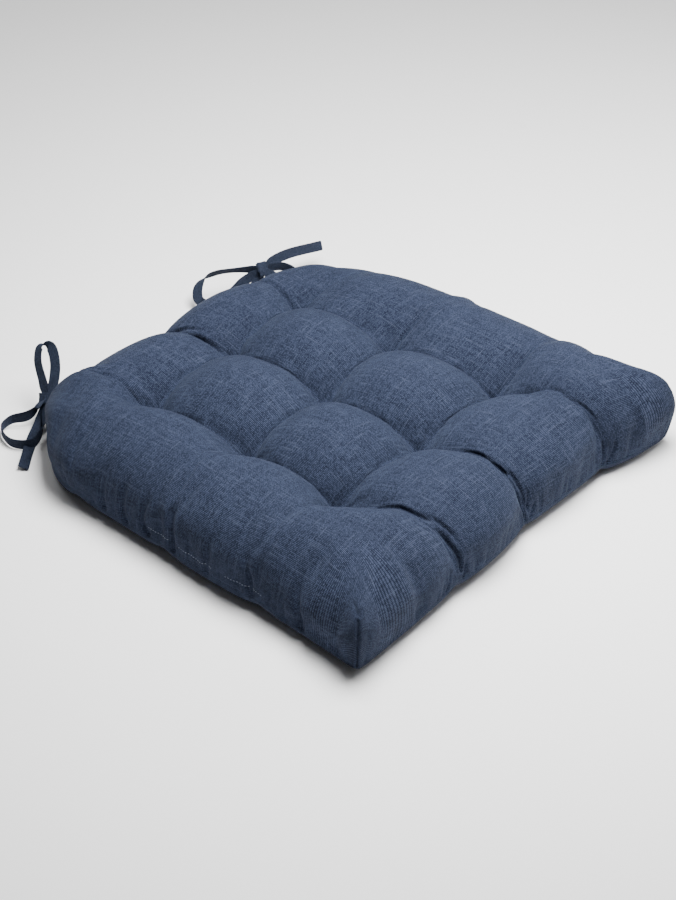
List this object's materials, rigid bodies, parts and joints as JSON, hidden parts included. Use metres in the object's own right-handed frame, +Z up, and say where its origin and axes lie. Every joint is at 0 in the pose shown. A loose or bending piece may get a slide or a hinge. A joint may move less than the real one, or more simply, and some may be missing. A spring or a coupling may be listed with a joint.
{
  "type": "tufted seat cushion",
  "caption": "U-shaped tufted seat cushion with boxed front corners, rounded back corners and fabric tapes tied in bows at the back.",
  "frame": {"origin": "bottom centre of the whole object's bounding box, on the face it lies on", "axes": "+Z up out of the seat, +Y to the back edge where the ties are, +X to the right seen from the front edge"},
  "size_m": [0.5144, 0.564, 0.0948],
  "materials": {
    "cover_cloth": "matt linen-look weave in heathered navy",
    "tape_cloth": "matt woven tape in darker navy"
  },
  "bodies": {
    "root": {"cushion": "cover_cloth", "tie_left": "tape_cloth", "tie_right": "tape_cloth"}
  },
  "joints": []
}
